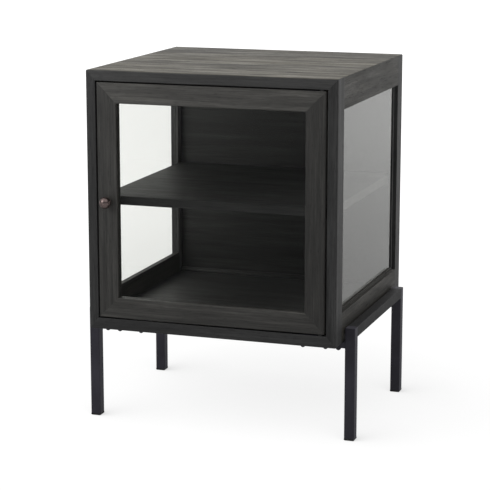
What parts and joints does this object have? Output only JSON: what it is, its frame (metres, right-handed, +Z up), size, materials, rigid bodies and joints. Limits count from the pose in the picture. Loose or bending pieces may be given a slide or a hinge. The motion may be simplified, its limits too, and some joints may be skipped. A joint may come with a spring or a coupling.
{
  "type": "display cabinet",
  "caption": "Box-shaped dark wood display cabinet with glass sides, a framed glass door hinged at the right, an inner shelf and an open square-tube steel base.",
  "frame": {"origin": "bottom centre of the whole object's box; the feet stand on z = 0", "axes": "+X to the object's right as seen from the front, +Y to the back, +Z up; the door faces -Y"},
  "size_m": [0.546, 0.504, 0.7],
  "materials": {
    "stained_wood": "dark charcoal-brown stained solid wood, satin, open grain",
    "clear_glass": "clear polished float glass",
    "black_steel": "satin black powder coat",
    "aged_bronze": "dark aged bronze, softly polished",
    "plated_steel": "zinc plated",
    "black_plastic": "moulded black plastic"
  },
  "bodies": {
    "cabinet": {"back_bead": "stained_wood", "back_panel": "stained_wood", "base_screws": "black_steel", "base_washers": "black_steel", "bottom_panel": "stained_wood", "catch_body": "black_plastic", "catch_magnet": "plated_steel", "catch_screws": "plated_steel", "door_stop": "stained_wood", "foot_glides": "black_plastic", "front_cross_bar": "black_steel", "hinge_case_screws": "black_steel", "hinge_pins": "black_steel", "hinge_washers": "black_plastic", "left_base_rail": "black_steel", "left_bottom_bead": "stained_wood", "left_bottom_rail": "stained_wood", "left_front_bead": "stained_wood", "left_front_leg": "black_steel", "left_front_stile": "stained_wood", "left_glass": "clear_glass", "left_rear_bead": "stained_wood", "left_rear_leg": "black_steel", "left_rear_stile": "stained_wood", "left_top_bead": "stained_wood", "left_top_rail": "stained_wood", "lower_hinge_case_leaf": "black_steel", "rear_cross_bar": "black_steel", "right_base_rail": "black_steel", "right_bottom_bead": "stained_wood", "right_bottom_rail": "stained_wood", "right_front_bead": "stained_wood", "right_front_leg": "black_steel", "right_front_stile": "stained_wood", "right_glass": "clear_glass", "right_rear_bead": "stained_wood", "right_rear_leg": "black_steel", "right_rear_stile": "stained_wood", "right_top_bead": "stained_wood", "right_top_rail": "stained_wood", "shelf": "stained_wood", "shelf_pins": "plated_steel", "top_panel": "stained_wood", "upper_hinge_case_leaf": "black_steel"},
    "door": {"door_bottom_bead": "stained_wood", "door_bottom_rail": "stained_wood", "door_glass": "clear_glass", "door_hinge_bead": "stained_wood", "door_hinge_stile": "stained_wood", "door_knob_bead": "stained_wood", "door_knob_stile": "stained_wood", "door_top_bead": "stained_wood", "door_top_rail": "stained_wood", "hinge_door_screws": "black_steel", "knob": "aged_bronze", "knob_screw": "plated_steel", "lower_hinge_door_leaf": "black_steel", "strike_plate": "plated_steel", "strike_screws": "plated_steel", "upper_hinge_door_leaf": "black_steel"}
  },
  "joints": [
    {"name": "door_hinge", "type": "hinge", "parent": "cabinet", "child": "door", "pos_m": [0.2185, -0.221, 0.447], "axis": [0, 0, 1], "range_deg": [0, 110]}
  ]
}
